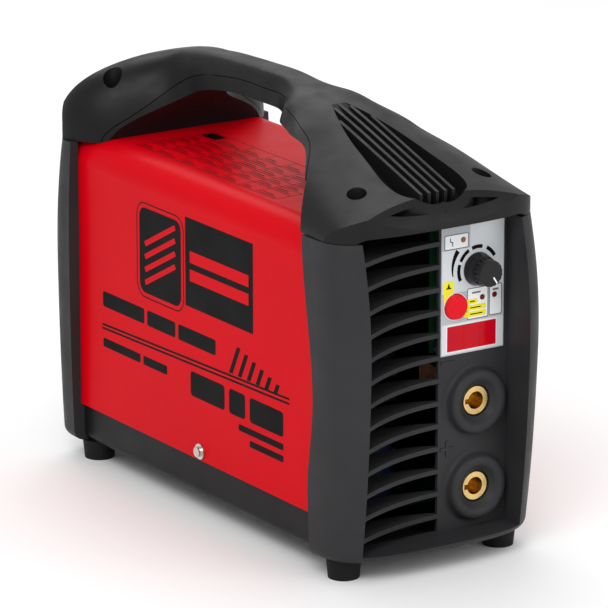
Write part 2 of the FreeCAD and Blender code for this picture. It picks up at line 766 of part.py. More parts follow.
def hood_plan(wall=0.0):
    """Top view of the handle, or of its inside: it follows both end covers at the seam."""
    low = seam + size.seam_gap - 0.01 - wall
    front = front_shape.plan(seam, wall)
    back = rear_shape.plan(seam, wall)
    edges = []
    for half, turn in ((front, 1), (back, -1)):
        outline = [(-x * turn, y, low) for x, y in reversed(half)] + [(x * turn, y, low) for x, y in half[1:]]
        edges.append((curve(outline), Vector(*outline[0]), Vector(*outline[-1])))
    links = [Part.makeLine(edges[0][2], edges[1][1]), Part.makeLine(edges[1][2], edges[0][1])]
    wire = Part.Wire([edges[0][0], links[0], edges[1][0], links[1]])
    return Part.Face(wire).extrude(Vector(0, 0, 100))


def arch_points(grow, liner=0.0):
    """Side view of the hand opening; grow widens it all round, liner lifts its roof."""
    low = seam - 1
    roof = size.crown_height - size.grip_height + liner
    return [
        (-142.0 - grow, low),
        (-140.0 - grow, seam + 11 + 0.2 * grow),
        (-129.0 - 0.8 * grow, seam + 26 + 0.6 * grow),
        (-111.0 - 0.6 * grow, roof - liner - 15 + 0.8 * grow + 0.1 * liner),
        (-86.0, roof - 4.2 + grow - 0.75 * liner),
        (-58.0, roof - 1.2 + grow - 0.3 * liner),
        (-25.0, roof + grow),
        (10.0, roof + grow),
        (45.0, roof + grow),
        (80.0, roof - 3.5 + grow),
        (104.0 + 0.3 * grow, roof - 9.0 + grow + 0.1 * liner),
        (126.0 + 0.6 * grow + 0.3 * liner, roof - 20.0 + 0.8 * grow),
        (141.0 + 0.9 * grow + 0.35 * liner, seam + 20 + 0.4 * grow),
        (150.0 + grow + 0.35 * liner, seam + 6),
        (152.0 + grow + 0.3 * liner, low),
    ]


def scoop_plan(grow=0.0):
    """Top view of the scoop: pointed towards the grip and round in front."""
    low = seam - 5
    front = front_shape.nose(seam) + 7.5 - grow
    side = 31.0 + grow
    points = [(0.0, -48.0), (13.0 + grow, -78.0), (22.0 + grow, -110.0), (28.0 + grow, -145.0), (side, front + 24)]
    points += [(side - 4.5, front + 8), (side - 15, front + 1.2)]
    right = [(x, y, low) for x, y in points] + [(0.0, front, low)]
    left = [(-x, y, z) for x, y, z in reversed(right)]
    wire = Part.Wire([curve(right), curve(left)])
    return Part.Face(wire).extrude(Vector(0, 0, 120))


def scoop_tool():
    """What the scoop takes out of the handle: everything above its sloping floor."""
    front = front_shape.nose(seam)
    floor = [
        (-46.0, size.crown_height - 3.5),
        (-80.0, size.crown_height - 20.0),
        (front + 14, seam + 8.5),
        (front - 5, seam + 8.0),
        (front - 5, size.crown_height + 20),
        (-40.0, size.crown_height + 20),
    ]
    wide = 50
    above = polygon_prism([(-wide, y, z) for y, z in floor], (2 * wide, 0, 0))
    return scoop_plan().common(above)


def handle_pieces():
    """The upper shell with its finned scoop, and the liner under the grip."""
    trim = hood_ends().common(hood_plan())
    outer = hood_body().common(trim)
    hollow = hood_body(size.hood_wall)
    inside = hood_plan(size.hood_wall).common(slab((-far, -far, -far), (far, rear_end - 26, far)))
    scoop = scoop_tool()
    lining = scoop_plan(size.hood_wall).common(
        slab((-50, -far, seam - 5), (50, -44, size.crown_height - 22))
    )
    opening = side_prism(arch_points(0), 2 * cover_half)
    keep = side_prism(arch_points(size.hood_wall), 2 * cover_half)
    above_seam = side_prism(arch_points(size.fit_gap, size.liner_depth), 2 * cover_half)
    under_seam = side_prism(arch_points(-size.fit_gap, size.liner_depth), 2 * cover_half)
    cavity = hollow.common(inside).cut(keep).cut(lining)
    posts = []
    ways = []
    wells = []
    for x, y in hood_screw_places():
        well_floor = size.case_top + size.hood_wall + 6
        posts.append(Part.makeCylinder(size.screw_head + 5.6, 100, Vector(x, y, size.case_top + size.fit_gap)))
        wells.append(Part.makeCylinder(size.screw_head + 2.8, 100, Vector(x, y, well_floor)))
        ways.append(Part.makeCylinder(size.screw_radius + 0.3, 100, Vector(x, y, seam - 5)))
    cavity = cavity.cut(posts)
    body = outer.cut(cavity).cut(scoop)
    fins = []
    length = abs(front_shape.nose(seam)) - 10
    for i in range(int(size.fin_count)):
        x = (i - (size.fin_count - 1) / 2) * size.fin_pitch
        reach = -46.0 - 3.4 * abs(x) ** 0.9
        fins.append(
            slab(
                (x - size.fin_thickness / 2, -length + 4, seam + 5),
                (x + size.fin_thickness / 2, reach, size.crown_height),
            )
        )
    case = case_arch(-size.fit_gap, seam - 20, -far, far)
    tools = [case] + wells + ways
    fins = [outer.common(fin).common(scoop_plan(0.5)) for fin in fins]
    shell = body.fuse(fins).cut(above_seam).cut(tools)
    liner = body.common(under_seam).cut(opening).cut(tools)
    return shell, liner


def hood_screw_places():
    """Where the four screws hold the handle, front pair first."""
    front_y = pillar_face + 42
    rear_y = rear_face - 42
    return [(-54, front_y), (54, front_y), (-56, rear_y), (56, rear_y)]


shell_shape, liner_shape = handle_pieces()
piece(sculpt("handle_shell_body", shell_shape), "handle_shell")
piece(sculpt("handle_liner_body", liner_shape), "handle_liner")

hood_screws = []
hood_nuts = []
for i, (x, y) in enumerate(HOOD_SCREWS):
    well_floor = "case_top + hood_wall + 6"
    head = rod(f"hood_head_{i}", (x, y, well_floor), "screw_head", "2.8", "z", "screw_head - 1")
    shank = rod(f"hood_shank_{i}", (x, y, "case_top - 7"), "screw_radius", "hood_wall + 14", "z")
    hood_screws.append(fuse(f"hood_screw_{i}", head, shank))
    nut = block(
        f"nut_plate_{i}",
        (f"{x} - 5", f"{y} - 5", "case_top - sheet - 3.5"),
        (f"{x} + 5", f"{y} + 5", "case_top - sheet"),
    )
    nut_hole = rod(f"nut_hole_{i}", (x, y, "case_top - sheet - 4"), "screw_radius", "5", "z")
    hood_nuts.append(cut(f"hood_nut_{i}", nut, nut_hole))
piece(group("hood_screw_set", *hood_screws), "handle_screws")
piece(group("hood_nut_set", *hood_nuts), "clip_nuts")


# ---------------------------------------------------------------- control panel

plate_holes = [
    rod("plate_knob_hole", (KNOB_X, f"{PANEL} - 2", KNOB_Z), "shaft_radius + 1.2", "4"),
    rod("plate_button_hole", (BUTTON_X, f"{PANEL} - 2", BUTTON_Z), "button_radius + 0.35", "4"),
    block(
        "plate_window_hole",
        (f"{WINDOW_X} - window_width / 2", f"{PANEL} - 2", f"{WINDOW_Z} - window_height / 2"),
        (f"{WINDOW_X} + window_width / 2", f"{PANEL} + 2", f"{WINDOW_Z} + window_height / 2"),
    ),
]
for i, (x, z) in enumerate(LAMPS):
    plate_holes.append(rod(f"plate_lamp_hole_{i}", (x, f"{PANEL} - 2", z), "lamp_radius + 0.1", "4"))
plate = block(
    "plate_sheet",
    (PLATE_LEFT, f"{PANEL} - plate_thickness", f"{PLATE_TOP} - plate_height"),
    (PLATE_RIGHT, PANEL, PLATE_TOP),
)
piece(cut("plate_drilled", plate, *plate_holes), "control_plate")
piece(
    block(
        "display_glass",
        (f"{WINDOW_X} - window_width / 2 + 0.1", f"{PANEL} - plate_thickness - 0.5", f"{WINDOW_Z} - window_height / 2 + 0.1"),
        (f"{WINDOW_X} + window_width / 2 - 0.1", f"{PANEL} + shell_wall", f"{WINDOW_Z} + window_height / 2 - 0.1"),
    ),
    "display_window",
)
BOARD_FRONT = f"{PANEL} + shell_wall + 9"
piece(
    block(
        "display_digits",
        (f"{WINDOW_X} - 23", f"{PANEL} + shell_wall + 0.2", f"{WINDOW_Z} - 11"),
        (f"{WINDOW_X} + 23", BOARD_FRONT, f"{WINDOW_Z} + 11"),
    ),
    "display_module",
)
control_sheet = block(
    "control_sheet",
    (f"{PLATE_LEFT} - 1", BOARD_FRONT, f"{PLATE_TOP} - plate_height"),
    (f"{PLATE_RIGHT} + 1.5", f"{BOARD_FRONT} + board_thickness", f"{PLATE_TOP} - 5"),
)
piece(control_sheet, "control_board")
SPACER_PLACES = [
    (x, z)
    for x in (f"{PLATE_LEFT} + 2.0", f"{PLATE_RIGHT} - 2.0")
    for z in (f"{PLATE_TOP} - plate_height + 3.5", f"{PLATE_TOP} - 7")
]
spacers = [
    rod(f"spacer_{i}", (x, f"{PANEL} + shell_wall", z), "1.5", "9") for i, (x, z) in enumerate(SPACER_PLACES)
]
piece(group("spacer_set", *spacers), "board_spacers")

pot_box = rod("pot_can", (KNOB_X, f"{PANEL} + shell_wall + 0.2", KNOB_Z), "8.5", "8.8")
pot_neck = rod("pot_neck", (KNOB_X, f"{PANEL} - 1.0", KNOB_Z), "shaft_radius + 1.0", "shell_wall + 2")
pot_bore = rod("pot_bore", (KNOB_X, f"{PANEL} - 2", KNOB_Z), "shaft_radius + running_gap", "shell_wall + 8")
piece(cut("pot_body", fuse("pot_blank", pot_box, pot_neck), pot_bore), "potentiometer")
piece(
    rod("pot_shaft", (KNOB_X, f"{PANEL} - plate_thickness - knob_height + 4", KNOB_Z), "shaft_radius", "knob_height + shell_wall + 2"),
    "potentiometer_shaft",
)
KNOB_BASE = f"{PANEL} - plate_thickness - 0.6"
skirt = rod("knob_skirt", (KNOB_X, f"{KNOB_BASE} - knob_height / 2", KNOB_Z), "cap_radius + 0.5", "knob_height / 2", "y", "knob_radius")
skirt_bore = rod("skirt_bore", (KNOB_X, f"{KNOB_BASE} - knob_height", KNOB_Z), "shaft_radius", "knob_height + 2")
piece(cut("knob_body", skirt, skirt_bore), "control_knob")
cap = rod("cap_drum", (KNOB_X, f"{KNOB_BASE} - knob_height", KNOB_Z), "cap_radius - 0.5", "knob_height / 2", "y", "cap_radius")
flutes = [rod("cap_bore", (KNOB_X, f"{KNOB_BASE} - knob_height + 2.6", KNOB_Z), "shaft_radius", "knob_height")]
FLUTE_COUNT = 18
for i in range(FLUTE_COUNT):
    turn = math.radians(360 * i / FLUTE_COUNT)
    flutes.append(
        rod(
            f"cap_flute_{i}",
            (
                f"{KNOB_X} + {math.cos(turn):.4f} * (cap_radius + 0.3)",
                f"{KNOB_BASE} - knob_height - 1",
                f"{KNOB_Z} + {math.sin(turn):.4f} * (cap_radius + 0.3)",
            ),
            "1.2",
            "knob_height / 2 - 0.2",
        )
    )
piece(cut("cap_fluted", cap, *flutes), "knob_cap")

button_face = f"{PANEL} - plate_thickness - 2.2"
button_body = rod("button_body", (BUTTON_X, button_face, BUTTON_Z), "button_radius", "shell_wall + 3.3")
button_rim = rod("button_rim", (BUTTON_X, f"{PANEL} + shell_wall + 0.3", BUTTON_Z), "button_radius + 1.6", "1.0")
button_crown = rod("button_crown", (BUTTON_X, f"{button_face} - 0.6", BUTTON_Z), "button_radius - 1.2", "0.6", "y", "button_radius")
piece(fuse("button_cap", button_body, button_rim, button_crown), "mode_button")
switch_can = block(
    "switch_can",
    (f"{BUTTON_X} - 6", f"{PANEL} + shell_wall + 5", f"{BUTTON_Z} - 6"),
    (f"{BUTTON_X} + 6", BOARD_FRONT, f"{BUTTON_Z} + 6"),
)
SWITCH_TIP = f"{PANEL} + shell_wall + 1.3 + button_travel + 0.4"
switch_stem = rod("switch_stem", (BUTTON_X, SWITCH_TIP, BUTTON_Z), "1.8", "4 - button_travel")
piece(fuse("switch_body", switch_can, switch_stem), "mode_switch")
lamps = []
for i, (x, z) in enumerate(LAMPS):
    body = rod(f"lamp_body_{i}", (x, f"{PANEL} - plate_thickness - 0.4", z), "lamp_radius", "plate_thickness + shell_wall + 0.4 + 9")
    dome = rod(f"lamp_dome_{i}", (x, f"{PANEL} - plate_thickness - 1.2", z), "lamp_radius - 0.7", "0.8", "y", "lamp_radius")
    lamps.append(fuse(f"lamp_{i}", body, dome))
piece(group("lamp_set", *lamps), "indicator_lamps")


# ---------------------------------------------------------------- welding sockets

SOCKET_FRONT = f"{PANEL} - 1.5"
for sign, level in (("positive", "socket_low"), ("negative", "socket_low + socket_pitch")):
    front_tube = rod(f"{sign}_tube", (SOCKET_X, f"{SOCKET_FRONT} + 0.8", level), "socket_radius + 1.2", "shell_wall + 2")
    flange = rod(f"{sign}_flange", (SOCKET_X, f"{PANEL} + shell_wall", level), "socket_radius + 7", "5")
    housing = fuse(f"{sign}_housing", front_tube, flange)
    housing_bore = rod(f"{sign}_housing_bore", (SOCKET_X, f"{PANEL} - 20", level), "socket_radius", "60")
    piece(cut(f"{sign}_housing_cut", housing, housing_bore), f"{sign}_socket_body")
    barrel = rod(f"{sign}_barrel", (SOCKET_X, SOCKET_FRONT, level), "socket_radius", "socket_depth + 6")
    stud = rod(f"{sign}_stud", (SOCKET_X, f"{SOCKET_FRONT} + socket_depth + 5", level), "5", "17")
    bore = rod(f"{sign}_bore", (SOCKET_X, f"{SOCKET_FRONT} - 1", level), "socket_bore", "socket_depth + 1")
    keyway = block(
        f"{sign}_keyway",
        (f"{SOCKET_X} - socket_bore - 2.6", f"{SOCKET_FRONT} - 1", f"{level} - 1.9"),
        (SOCKET_X, f"{SOCKET_FRONT} + socket_depth", f"{level} + 1.9"),
    )
    turned = fuse(f"{sign}_turned", barrel, stud)
    piece(cut(f"{sign}_insert", turned, bore, keyway), f"{sign}_socket_insert")
STUD_START = f"{SOCKET_FRONT} + socket_depth + 6"
nuts = []
bars = {}
for sign, level, reach in (("positive", "socket_low", 18), ("negative", "socket_low + socket_pitch", 30)):
    strap = block(
        f"{sign}_strap",
        (f"{SOCKET_X} - 9", STUD_START, f"{level} - 8"),
        (f"{SOCKET_X} + 12", f"{STUD_START} + 3", f"{level} + 8"),
    )
    run = block(
        f"{sign}_run",
        (f"{SOCKET_X} + 9", STUD_START, f"{level} - 8"),
        (f"{SOCKET_X} + 12", f"{STUD_START} + {reach + 25}", f"{level} + 8"),
    )
    hole = rod(f"{sign}_strap_hole", (SOCKET_X, f"{STUD_START} - 2", level), "5", "8")
    piece(cut(f"{sign}_bar", fuse(f"{sign}_bar_blank", strap, run), hole), f"{sign}_busbar")
    nut = prism(f"{sign}_nut", (SOCKET_X, f"{STUD_START} + 3", level), "8.5", "5")
    hole = rod(f"{sign}_nut_hole", (SOCKET_X, f"{STUD_START} - 2", level), "5", "12")
    nuts.append(cut(f"{sign}_hex", nut, hole))
piece(group("socket_nut_set", *nuts), "socket_nuts")


# ---------------------------------------------------------------- rear panel

frame_lip = block(
    "switch_lip",
    (f"{SWITCH_X} - switch_width / 2 - 4", REAR, f"{ROW} - switch_height / 2 - 4"),
    (f"{SWITCH_X} + switch_width / 2 + 4", f"{REAR} + 2.2", f"{ROW} + switch_height / 2 + 4"),
)
frame_box = block(
    "switch_box",
    (f"{SWITCH_X} - switch_width / 2 - 1.2", f"{REAR} - 22", f"{ROW} - switch_height / 2 - 1.2"),
    (f"{SWITCH_X} + switch_width / 2 + 1.2", f"{REAR}", f"{ROW} + switch_height / 2 + 1.2"),
)
frame_room = block(
    "switch_room",
    (f"{SWITCH_X} - switch_width / 2", f"{REAR} - 16", f"{ROW} - switch_height / 2"),
    (f"{SWITCH_X} + switch_width / 2", f"{REAR} + 8", f"{ROW} + switch_height / 2"),
)
PIVOT_Y = f"{REAR} - 3"
pivot_ways = rod("pivot_ways", (f"{SWITCH_X} - switch_width / 2 - 1", PIVOT_Y, ROW), "1.5 + running_gap", "switch_width + 2", "x")
piece(cut("switch_frame", fuse("switch_shell", frame_lip, frame_box), frame_room, pivot_ways), "power_switch_housing")


def rocker_shape():
    """The rocker: a shallow V seen from the side, pressed in at its lower half."""
    pivot = Vector(-33, rear_panel - 3, size.rear_row)
    reach = size.switch_height / 2 - 0.4
    ends = [(reach * math.cos(math.radians(turn)), reach * math.sin(math.radians(turn))) for turn in (-6, 8, 22)]
    outline = [(4.0, -7.0)] + ends + [(0.0, 3.8)] + [(-up, out) for up, out in reversed(ends)] + [(-4.0, -7.0)]
    width = size.switch_width - 2 * size.fit_gap - 0.4
    start = pivot.x - width / 2
    body = polygon_prism([(start, pivot.y + out, pivot.z + up) for up, out in outline], (width, 0, 0))
    body.rotate(pivot, Vector(1, 0, 0), -size.rocker_tilt)
    pin = size.switch_width + 1.6
    return body.fuse(Part.makeCylinder(1.5, pin, pivot - Vector(pin / 2, 0, 0), Vector(1, 0, 0)))


piece(sculpt("rocker_body", rocker_shape()), "power_rocker")

gland_body = rod("gland_thread_body", (GLAND_X, f"{REAR} - 12", ROW), "gland_thread", "13")
gland_hex = prism("gland_hex", (GLAND_X, REAR, ROW), "gland_thread + 4", "4.5")
gland_dome = rod("gland_dome", (GLAND_X, f"{REAR} + 4.5", ROW), "gland_thread + 1.5", "5", "y", "gland_thread - 2.5")
gland_way = rod("gland_way", (GLAND_X, f"{REAR} - 14", ROW), "gland_bore", "40")
piece(cut("gland_cut", fuse("gland_solid", gland_body, gland_hex, gland_dome), gland_way), "cable_gland")
lock = prism("lock_hex", (GLAND_X, f"{REAR} - shell_wall - 4.5", ROW), "gland_thread + 4", "4.5")
lock_hole = rod("lock_hole", (GLAND_X, f"{REAR} - 12", ROW), "gland_thread", "14")
piece(cut("lock_cut", lock, lock_hole), "gland_nut")


# ---------------------------------------------------------------- fan

FAN_BACK = f"{REAR} - shell_wall - 0.4"
FAN_FRONT = f"{FAN_BACK} - fan_depth"
fan_frame = block(
    "fan_frame",
    ("-fan_size / 2", FAN_FRONT, "fan_height - fan_size / 2"),
    ("fan_size / 2", FAN_BACK, "fan_height + fan_size / 2"),
)
fan_tunnel = rod("fan_tunnel", ("0", f"{FAN_FRONT} - 1", "fan_height"), "fan_size / 2 - 3", "fan_depth + 2")
fan_ways = [rod(f"fan_way_{i}", (x, f"{FAN_FRONT} - 1", z), "screw_radius + 0.1", "fan_depth + 2") for i, (x, z) in enumerate(FAN_CORNERS)]
fan_ring = cut("fan_ring", fan_frame, fan_tunnel, *fan_ways)


def fan_strut(turn):
    """One of the flat arms that carry the fan's motor."""
    front = rear_panel - size.shell_wall - 0.4 - size.fan_depth
    arm = slab((14, front, -2), (size.fan_size / 2 - 2.5, front + 3, 2))
    arm.rotate(Vector(0, 0, 0), Vector(0, 1, 0), turn)
    arm.translate(Vector(0, 0, size.fan_height))
    return arm


struts = [sculpt(f"strut_{i}", fan_strut(90 * i + 45)) for i in range(4)]
motor = rod("motor_base", ("0", FAN_FRONT, "fan_height"), "16", "4")
bearing = rod("motor_bearing", ("0", FAN_FRONT, "fan_height"), "5", "12")
bearing_way = rod("bearing_way", ("0", f"{FAN_FRONT} - 1", "fan_height"), "fan_axle + running_gap", "16")
piece(cut("fan_body", fuse("fan_joined", fan_ring, motor, bearing, *struts), bearing_way), "fan_housing")


def rotor_shape():
    """Hub cup with seven pitched blades and its axle."""
    start = rear_panel - size.shell_wall - 0.4 - size.fan_depth
    centre = Vector(0, start, size.fan_height)
    along = Vector(0, 1, 0)

    def drum(radius, offset, length):
        return Part.makeCylinder(radius, length, centre + along * offset, along)

    hub = drum(18, 5, 17).cut(drum(16.5, 4, 14.5))
    axle = drum(size.fan_axle, 1, 20)
    blade_reach = size.fan_size / 2 - 4
    blades = []
    for i in range(7):
        blade = slab((17, -8.0, -1.0), (blade_reach + 2, 8.0, 1.0))
        blade.rotate(Vector(0, 0, 0), Vector(1, 0, 0), 50)
        blade.rotate(Vector(0, 0, 0), Vector(0, 1, 0), 360 * i / 7)
        blade.translate(centre + along * 13.5)
        blades.append(blade)
    limit = drum(blade_reach, 5.5, 16)
    blades = [blade.common(limit).cut(drum(17.5, 4, 20)) for blade in blades]
    return hub.fuse([axle] + blades)


piece(sculpt("rotor_body", rotor_shape()), "fan_rotor")
fan_screws = []
for i, (x, z) in enumerate(FAN_CORNERS):
    head = rod(f"fan_head_{i}", (x, REAR, z), "screw_head - 0.6", "2.2", "y", "screw_head - 1.6")
    shank = rod(f"fan_shank_{i}", (x, f"{FAN_BACK} - 12", z), "screw_radius", "shell_wall + 0.4 + 12.5")
    fan_screws.append(fuse(f"fan_screw_{i}", head, shank))
piece(group("fan_screw_set", *fan_screws), "fan_screws")


# ---------------------------------------------------------------- power electronics

BOARD_HALF = "(case_width / 2 - sheet - 8)"
board_front = "-body_length / 2 + 72"
board_back = "body_length / 2 - 62"
BOARD_TOP = f"{BOARD} + board_thickness"
piece(block("board_sheet", (f"-{BOARD_HALF}", board_front, BOARD), (BOARD_HALF, board_back, BOARD_TOP)), "main_board")
posts = []
for i, (a, b) in enumerate(((-1, board_front + " + 6"), (1, board_front + " + 6"), (-1, board_back + " - 6"), (1, board_back + " - 6"))):
    posts.append(rod(f"post_{i}", (f"{a} * ({BOARD_HALF} - 6)", b, TRAY_FLOOR), "3.5", "board_rise", "z"))
piece(group("post_set", *posts), "board_standoffs")


def heat_sink(name, side):
    """An extruded sink: a web against the transistors and fins across to the middle."""
    near = "12" if side > 0 else "-12 - sink_width"
    start = "-sink_length / 2 + 20"
    end = "sink_length / 2 + 20"
    web_low = near if side > 0 else f"{near} + sink_width - 6"
    web = block(f"{name}_web", (web_low, start, f"{BOARD_TOP} + 3"), (f"{web_low} + 6", end, f"{BOARD_TOP} + 3 + sink_height"))
    fins = [web]
    for i in range(9):
        level = f"{BOARD_TOP} + 3 + {i} * (sink_height - 2.5) / 8"
        fins.append(block(f"{name}_fin_{i}", (near, start, level), (f"{near} + sink_width", end, f"{level} + 2.5")))
    legs = []
    for i, y in enumerate((f"{start} + 6", f"{end} - 12")):
        legs.append(block(f"{name}_leg_{i}", (web_low, y, BOARD_TOP), (f"{web_low} + 6", f"{y} + 6", f"{BOARD_TOP} + 3.5")))
    return piece(fuse(f"{name}_body", *fins, *legs), name)


heat_sink("heatsink_left", -1)
heat_sink("heatsink_right", 1)


def power_devices(name, face, thickness, count):
    """Flat power devices clamped to a heat sink's web, with their legs in the board."""
    made = []
    for i in range(count):
        y = f"-sink_length / 2 + 32 + {i} * 24"
        case = block(f"{name}_case_{i}", (face, y, f"{BOARD_TOP} + 14"), (f"{face} + {thickness}", f"{y} + 16", f"{BOARD_TOP} + 35"))
        leg = block(f"{name}_leg_{i}", (f"{face} + 1.5", f"{y} + 3", BOARD_TOP), (f"{face} + 2.5", f"{y} + 13", f"{BOARD_TOP} + 14.5"))
        made.append(fuse(f"{name}_{i}", case, leg))
    return piece(group(f"{name}_set", *made), name)


power_devices("switching_transistors", "-12", 4.8, 6)
power_devices("output_diodes", "7.2", 4.8, 6)
ABOVE = f"{BOARD_TOP} + 3 + sink_height + 4"
core = block("core_block", ("-36", "-30", ABOVE), ("36", "26", f"{ABOVE} + 52"))
core_windows = [
    block(f"core_window_{i}", (x, "-31", f"{ABOVE} + 9"), (f"{x} + 16", "27", f"{ABOVE} + 43")) for i, x in enumerate(("-26", "10"))
]
piece(cut("core_body", core, *core_windows), "transformer_core")
coil_outer = block("coil_outer", ("-24.5", "-44", f"{ABOVE} + 10"), ("24.5", "40", f"{ABOVE} + 42"))
coil_inner = block("coil_inner", ("-10.3", "-30.3", f"{ABOVE} + 8"), ("10.3", "26.3", f"{ABOVE} + 44"))
piece(cut("coil_body", coil_outer, coil_inner), "transformer_winding")
shelf = block("shelf_plate", ("-60", "-46", f"{ABOVE} - 4"), ("60", "110", f"{ABOVE} - 2"))
shelf_feet = [
    block(f"shelf_foot_{i}", (x, y, f"{ABOVE} - 2"), (f"{x} + 8", f"{y} + 8", ABOVE)) for i, (x, y) in enumerate((("-34", "-28"), ("26", "-28"), ("-34", "16"), ("26", "16")))
]
piece(fuse("shelf_body", shelf, *shelf_feet), "transformer_shelf")
ring = doc.addObject("Part::Torus", "choke_ring")
ring.setExpression("Radius1", "20")
ring.setExpression("Radius2", "9")
ring.setExpression("Placement.Base.y", "75")
ring.setExpression("Placement.Base.z", bound(f"{ABOVE} - 2 + 9"))
piece(ring, "output_choke")
capacitors = []
for i, x in enumerate(("-58", "-26", "6")):
    capacitors.append(rod(f"capacitor_{i}", (x, "-98", BOARD_TOP), "14", "45", "z"))
piece(group("capacitor_set", *capacitors), "bulk_capacitors")
piece(
    block("bridge_block", ("-50", "108", BOARD_TOP), ("-20", "138", f"{BOARD_TOP} + 22")),
    "bridge_rectifier",
)


# ---------------------------------------------------------------- checks and export

doc.recompute()
for made in doc.Objects:
    if "Invalid" in made.State or "Error" in made.State:
        raise SystemExit(f"{made.Label} failed: {made.State}")
for made in pieces:
    if made.Shape.isNull() or not made.Shape.isValid():
        raise SystemExit(f"{made.Label} has no valid shape")
for made in pieces:
    made.Shape.exportStep(f"parts/{made.Label}.step")
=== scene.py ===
import math

import bpy
from mathutils import Matrix, Vector


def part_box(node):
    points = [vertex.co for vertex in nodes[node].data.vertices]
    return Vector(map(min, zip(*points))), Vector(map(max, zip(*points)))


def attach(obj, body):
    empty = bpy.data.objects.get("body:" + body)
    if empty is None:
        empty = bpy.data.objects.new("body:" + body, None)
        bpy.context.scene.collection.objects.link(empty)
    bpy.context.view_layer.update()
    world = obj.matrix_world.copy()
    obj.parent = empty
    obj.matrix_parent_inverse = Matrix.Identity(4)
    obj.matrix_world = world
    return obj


# Portable welder. Metres, +Z up, front towards -Y; the CAD pieces carry the shapes, and the
# thin prints on both sides, the top and the control plate are made here. Prints are laid out
# in millimetres on flat planes.

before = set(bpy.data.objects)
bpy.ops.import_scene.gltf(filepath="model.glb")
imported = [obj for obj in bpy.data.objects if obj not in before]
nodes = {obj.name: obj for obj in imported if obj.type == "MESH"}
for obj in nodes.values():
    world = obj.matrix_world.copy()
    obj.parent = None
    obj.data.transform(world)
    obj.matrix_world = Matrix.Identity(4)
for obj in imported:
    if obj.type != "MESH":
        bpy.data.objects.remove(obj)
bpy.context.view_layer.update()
scene = bpy.context.scene

# ---------------------------------------------------------------- materials

COAT_ROUGHNESS = 0.08
NOISE_LOW = 0.35
NOISE_HIGH = 0.65


def new_material(name, colour, roughness, metallic=0.0, coat=0.0, specular=0.15):
    """A principled material with constant values on its sockets."""
    made = bpy.data.materials.new(name)
    made.use_nodes = True
    shader = made.node_tree.nodes["Principled BSDF"]
    shader.inputs["Base Color"].default_value = (*colour, 1)
    shader.inputs["Roughness"].default_value = roughness
    shader.inputs["Metallic"].default_value = metallic
    shader.inputs["Coat Weight"].default_value = coat
    shader.inputs["Coat Roughness"].default_value = COAT_ROUGHNESS
    shader.inputs["Specular IOR Level"].default_value = specular
    return made, shader


def object_noise(made, scale, detail=3.0, stretch=(1, 1, 1)):
    """Noise in the object's own coordinates, whose unit is the metre."""
    tree = made.node_tree
    place = tree.nodes.new("ShaderNodeTexCoord")
    mapping = tree.nodes.new("ShaderNodeMapping")
    mapping.inputs["Scale"].default_value = stretch
    noise = tree.nodes.new("ShaderNodeTexNoise")
    noise.inputs["Scale"].default_value = scale
    noise.inputs["Detail"].default_value = detail
    tree.links.new(place.outputs["Object"], mapping.inputs["Vector"])
    tree.links.new(mapping.outputs["Vector"], noise.inputs["Vector"])
    return noise


def vary(made, shader, socket, scale, low, high, stretch=(1, 1, 1)):
    """Lets a value or colour of the shader wander between two ends."""
    tree = made.node_tree
    noise = object_noise(made, scale, stretch=stretch)
    is_value = isinstance(low, float)
    ramp = tree.nodes.new("ShaderNodeMapRange" if is_value else "ShaderNodeValToRGB")
    if is_value:
        ramp.inputs["From Min"].default_value = NOISE_LOW
        ramp.inputs["From Max"].default_value = NOISE_HIGH
        ramp.inputs["To Min"].default_value = low
        ramp.inputs["To Max"].default_value = high
        tree.links.new(noise.outputs["Fac"], ramp.inputs["Value"])
        tree.links.new(ramp.outputs["Result"], shader.inputs[socket])
    else:
        ramp.color_ramp.elements[0].position = NOISE_LOW
        ramp.color_ramp.elements[0].color = (*low, 1)
        ramp.color_ramp.elements[1].position = NOISE_HIGH
        ramp.color_ramp.elements[1].color = (*high, 1)
        tree.links.new(noise.outputs["Fac"], ramp.inputs["Fac"])
        tree.links.new(ramp.outputs["Color"], shader.inputs[socket])


def grain(made, shader, scale, height, stretch=(1, 1, 1)):
    """Fine relief of a moulded, painted or brushed surface; height in metres."""
    tree = made.node_tree
    noise = object_noise(made, scale, 2.0, stretch)
    bump = tree.nodes.new("ShaderNodeBump")
    bump.inputs["Strength"].default_value = 1.0
    bump.inputs["Distance"].default_value = height
    tree.links.new(noise.outputs["Fac"], bump.inputs["Height"])
    tree.links.new(bump.outputs["Normal"], shader.inputs["Normal"])


def shade(colour, factor):
    return tuple(min(1.0, part * factor) for part in colour)


def plastic(name, colour, roughness, grain_scale=1400.0, grain_height=0.00004, specular=0.15):
    made, shader = new_material(name, colour, roughness, specular=specular)
    vary(made, shader, "Base Color", 14.0, shade(colour, 0.9), shade(colour, 1.12))
    vary(made, shader, "Roughness", 60.0, roughness - 0.05, roughness + 0.06)
    grain(made, shader, grain_scale, grain_height)
    return made


def paint(name, colour, roughness, coat, specular=0.15):
    made, shader = new_material(name, colour, roughness, coat=coat, specular=specular)
    vary(made, shader, "Base Color", 6.0, shade(colour, 0.97), shade(colour, 1.03))
    vary(made, shader, "Roughness", 35.0, roughness - 0.03, roughness + 0.04)
    grain(made, shader, 900.0, 0.0000012)
    return made


def metal(name, colour, roughness, stretch=(1, 1, 1)):
    made, shader = new_material(name, colour, roughness, metallic=1.0)
    vary(made, shader, "Base Color", 90.0, shade(colour, 0.85), shade(colour, 1.08), stretch)
    vary(made, shader, "Roughness", 160.0, roughness - 0.06, roughness + 0.08, stretch)
    grain(made, shader, 700.0, 0.000008, stretch)
    return made


RED = (0.60, 0.0, 0.006)
HOOD = (0.009, 0.009, 0.0095)
BEZEL = (0.027, 0.027, 0.029)
BASE = (0.007, 0.0075, 0.0085)
BLACK = (0.007, 0.007, 0.0075)

